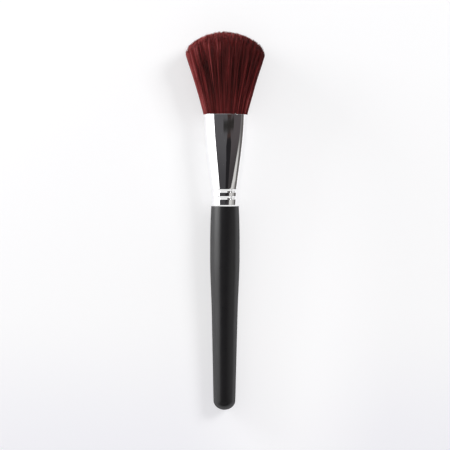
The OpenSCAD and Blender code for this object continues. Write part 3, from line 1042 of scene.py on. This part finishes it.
def floor_material():
    """White table: it takes the light as pale paint, and shows as a white page where it is seen or
    mirrored, a little greyer towards the foot of the picture and lighter to the handle's right,
    where a pool of light is painted."""
    material = shader("white table", (0.5, 0.5, 0.507), 0.9, Specular_IOR_Level=0)
    tree, sockets = material.node_tree, shader_sockets(material)
    place, along = place_and_along(tree)
    page = blended(tree, eased(tree, along, *FOOT_TO_PAGE), FOOT_WHITE, PAGE_WHITE)
    # a pool of light painted right of the handle
    from_painted_pool = vector_of(tree, "SUBTRACT", place, PAINTED_POOL_AT)
    in_painted_pool = length_of(tree, vector_of(tree, "DIVIDE", from_painted_pool, PAINTED_POOL_HALF))
    painted_pool = blended(tree, eased(tree, in_painted_pool, 1, 0), page, PAINTED_POOL_WHITE)
    away = eased(tree, length_of(tree, place), *PAGE_TO_FAR)
    link(tree, blended(tree, away, painted_pool, FAR_WHITE), sockets["Emission Color"])
    link(tree, seen_or_mirrored(tree), sockets["Emission Strength"])
    return material


def flat_sheet(name, corners):
    mesh = bpy.data.meshes.new(name)
    mesh.from_pydata(corners, [], [tuple(range(len(corners)))])
    sheet = bpy.data.objects.new(name, mesh)
    bpy.context.scene.collection.objects.link(sheet)
    return sheet


def rectangle(left, right, near, far):
    return ((left, near), (right, near), (right, far), (left, far))


def stage_floor():
    corners = rectangle(-FLOOR_HALF, FLOOR_HALF, -FLOOR_HALF, FLOOR_HALF)
    floor = flat_sheet("table", [(x, y, 0) for x, y in corners])
    floor.data.materials.append(floor_material())


# Cards that the metal and the lacquer mirror

# Heights of the cards overhead and of the upright ones, which stand in two rows
ROOM_TOP, CEILING_AT, WARM_AT, BEAM_AT, GLEAM_AT, BUTT_CARD_AT = 1.12, 1.1, 1.09, 1.08, 1.07, 0.06
ROOM_SPLIT, LEFT_SPLIT, LEFT_TOP = 0.84, 0.4, 0.72

# How far left and right the upright cards stand, and how far right the room's ceiling begins
LEFT_AT, RIGHT_AT, ROOM_EDGE = -0.65, 2.7, 0.4

# Where cards begin and end along the brush
UPPER_LEFT, LOWER_LEFT = (-0.17, 0.9), (-0.13, 0.9)
ROOM, BACK_ROOM, DARK_FOOT = (-0.3, 1.5), (-0.6, -0.3), (-1.5, 1.5)

# A card with two colours passes from one to the other between these places along the brush
BESIDE_HEAD = (-0.08, 0.22)

# Colours of the cards, in pairs where a card passes from one to the other
CEILING_GREYS = ((0.058, 0.0562, 0.0602), (0.094, 0.091, 0.0962))
WARM_GREYS = ((0.049, 0.0435, 0.0455), (0.082, 0.0715, 0.074))
GLEAM_RED = (0.056, 0.035, 0.031)
BEAM_DARK, PATCH_DARK = (0.0165, 0.0153, 0.0168), (0.019, 0.0178, 0.016)
BUTT_CARD_GREY = (0.075, 0.073, 0.078)
ROOM_GREYS = ((0.615, 0.605, 0.588), (0.168, 0.159, 0.159))
BACK_ROOM_GREY, DARK_FOOT_GREY = (0.4, 0.39, 0.38), (0.13, 0.121, 0.117)
UPPER_LEFT_WHITES = ((2.2, 2.2, 2.2), (2.9, 2.9, 2.9))
LOWER_LEFT_WHITES = ((2.25, 2.25, 2.25), (6.4, 6.4, 6.4))
KEY_WHITE = (14.0, 14.0, 14.0)

# Rectangles overhead: left, right, near and far end
GLEAM, PATCH = (0.14, 0.42, 0.157, 0.1655), (-0.12, 0.66, 0.1706, 0.24)
BUTT_CARD = (-0.15, 0.15, -0.3, -0.125)

# Outlines overhead, as places across and along
CEILING = (
    (-1.25, -0.3), (0.4, -0.3), (0.75, -0.2), (1.4, -0.14),
    (1.72, -0.05), (2.3, 0.12), (2.7, 0.37), (-1.25, 0.37),
)
WARM_SIDE = (
    (0.3, -0.29), (0.4, -0.29), (0.74, -0.19), (1.38, -0.13),
    (1.7, -0.04), (2.26, 0.12), (2.62, 0.36), (0.3, 0.36),
)
BEAM = (
    (0.03, -0.2), (0.41, -0.2), (0.5, 0.07), (0.5, 0.14),
    (0.36, 0.169), (0.16, 0.169), (0.08, 0.13), (0.1, 0.07),
)
BACK_CEILING = ((-1.25, -0.8), (2.4, -0.8), (2.4, -0.5), (0.4, -0.3), (-1.25, -0.3))
KEY_CORNERS = ((0.66, 0.47, 0.86), (0.69, 0.62, 0.73), (0.84, 0.59, 0.7), (0.81, 0.44, 0.83))


def mirror_card(name, corners, colour, head_colour=None):
    """A card over or beside the set that is seen only in bright metal and lacquer. With two
    colours it passes from one to the other beside the brush's head."""
    card = flat_sheet(name, corners)
    glow = {"Emission_Color": (*colour, 1), "Emission_Strength": 1}
    material = shader(name.replace("_", " "), (0, 0, 0), 1, Specular_IOR_Level=0, **glow)
    if head_colour:
        tree, shown = material.node_tree, shader_sockets(material)["Emission Color"]
        passed = eased(tree, place_and_along(tree)[1], *BESIDE_HEAD)
        link(tree, blended(tree, passed, colour, head_colour), shown)
    card.data.materials.append(material)
    card.visible_camera = False
    card.visible_diffuse = False
    card.visible_shadow = False


def overhead(name, height, outline, colour, head_colour=None):
    mirror_card(name, [(x, y, height) for x, y in outline], colour, head_colour)


def upright(name, across, ends, foot, top, colour, head_colour=None):
    corners = [(across, y, z) for y, z in rectangle(*ends, foot, top)]
    mirror_card(name, corners, colour, head_colour)


def studio_cards():
    """The dim ceiling with its warmer side, the dark beam and patch and the red gleam under it, the
    white panels at the left, the key light's face and the room at the right with its dark foot."""
    overhead("dim_ceiling", CEILING_AT, CEILING, *CEILING_GREYS)
    overhead("warm_ceiling", WARM_AT, WARM_SIDE, *WARM_GREYS)
    overhead("beam_gleam", GLEAM_AT, rectangle(*GLEAM), GLEAM_RED)
    overhead("ceiling_beam", BEAM_AT, BEAM, BEAM_DARK)
    overhead("ceiling_patch", BEAM_AT, rectangle(*PATCH), PATCH_DARK)
    overhead("back_ceiling", CEILING_AT, BACK_CEILING, CEILING_GREYS[0])
    overhead("card_behind_butt", BUTT_CARD_AT, rectangle(*BUTT_CARD), BUTT_CARD_GREY)
    upright("back_room_wall", RIGHT_AT, BACK_ROOM, ROOM_SPLIT, ROOM_TOP, BACK_ROOM_GREY)
    back_outline = rectangle(ROOM_EDGE, RIGHT_AT, *BACK_ROOM)
    overhead("back_room_ceiling", ROOM_TOP, back_outline, BACK_ROOM_GREY)
    upright("upper_left_card", LEFT_AT, UPPER_LEFT, LEFT_SPLIT, LEFT_TOP, *UPPER_LEFT_WHITES)
    upright("left_panel", LEFT_AT, LOWER_LEFT, 0, LEFT_SPLIT, *LOWER_LEFT_WHITES)
    mirror_card("key_face", KEY_CORNERS, KEY_WHITE)
    upright("room_wall", RIGHT_AT, ROOM, ROOM_SPLIT, ROOM_TOP, *ROOM_GREYS)
    overhead("room_ceiling", ROOM_TOP, rectangle(ROOM_EDGE, RIGHT_AT, *ROOM), *ROOM_GREYS)
    upright("dark_room_foot", RIGHT_AT, DARK_FOOT, 0, ROOM_SPLIT, DARK_FOOT_GREY)


# Light

# How bright the room is as fill light, and where it is seen or mirrored
FILL, SEEN_ROOM = 0.38, 0.97

# Soft lights: place, what they point at, size in metres and radiance
SOFT_LIGHTS = {
    "left_soft_light": ((-0.66, 0.365, 0.2), (0, 0.365, 0.2), (1.07, 0.4), 1.1),
    "head_side_light": ((-0.5, 0.3, 0.12), (0, 0.08, 0.01), (0.3, 0.2), 12.5),
    "key_light": ((0.75, 0.53, 0.78), (0, 0.03, 0), (0.4, 0.4), 14.0),
}


def soft_light(name, place, target, size, radiance):
    """A rectangular soft light that isn't mirrored; radiance is how bright its face looks, where 1
    is white."""
    lamp = bpy.data.lights.new(name, "AREA")
    lamp.shape = "RECTANGLE"
    lamp.size, lamp.size_y = size
    lamp.energy = radiance * pi * size[0] * size[1]
    light = bpy.data.objects.new(name, lamp)
    bpy.context.scene.collection.objects.link(light)
    light.location = place
    light.visible_camera = False
    light.visible_glossy = False
    light.rotation_euler = (Vector(target) - Vector(place)).to_track_quat("-Z", "Y").to_euler()


def studio_world():
    """Even fill light, which shows as white where the room is seen or mirrored."""
    world = bpy.data.worlds.new("studio")
    bpy.context.scene.world = world
    world.use_nodes = True
    tree = world.node_tree
    background = tree.nodes["Background"]
    background.inputs["Color"].default_value = (1, 1, 1, 1)
    inputs = {"Value": seen_or_mirrored(tree), "To Min": FILL, "To Max": SEEN_ROOM}
    level = add_node(tree, "ShaderNodeMapRange", inputs)
    link(tree, level.outputs["Result"], background.inputs["Strength"])


stage_floor()
studio_cards()
studio_world()
for name, values in SOFT_LIGHTS.items():
    soft_light(name, *values)

# Camera

# The photograph's scale in millimetres a pixel, its size, the place of the brush's middle in it in
# pixels, and how the brush is turned in it
PHOTO_MM = 0.4788
PHOTO_SIZE = 450
BRUSH_MIDDLE = (224.95, 221.4)
ROLL = radians(0.18)

# The lens, how high the scale is true, and how far the camera sees, in metres
LENS, SENSOR = 100, 36
TRUE_AT = 0.011
SEES_TO = 20


def photo_camera():
    """Straight above, with the brush as high in the frame as in the photograph."""
    camera_data = bpy.data.cameras.new("camera")
    camera_data.lens = LENS
    camera_data.sensor_width = SENSOR
    camera_data.clip_end = SEES_TO
    camera = bpy.data.objects.new("camera", camera_data)
    bpy.context.scene.collection.objects.link(camera)
    middle = (cad_lo + cad_hi) / 2
    right, down = ((PHOTO_SIZE / 2 - place) * PHOTO_MM * MM for place in BRUSH_MIDDLE)
    above = PHOTO_MM * PHOTO_SIZE * MM * LENS / SENSOR
    camera.location = (right, middle.y - down, TRUE_AT + above)
    camera.rotation_euler = (0, 0, ROLL)
    bpy.context.scene.camera = camera


photo_camera()
bpy.context.scene.view_settings.view_transform = "Standard"
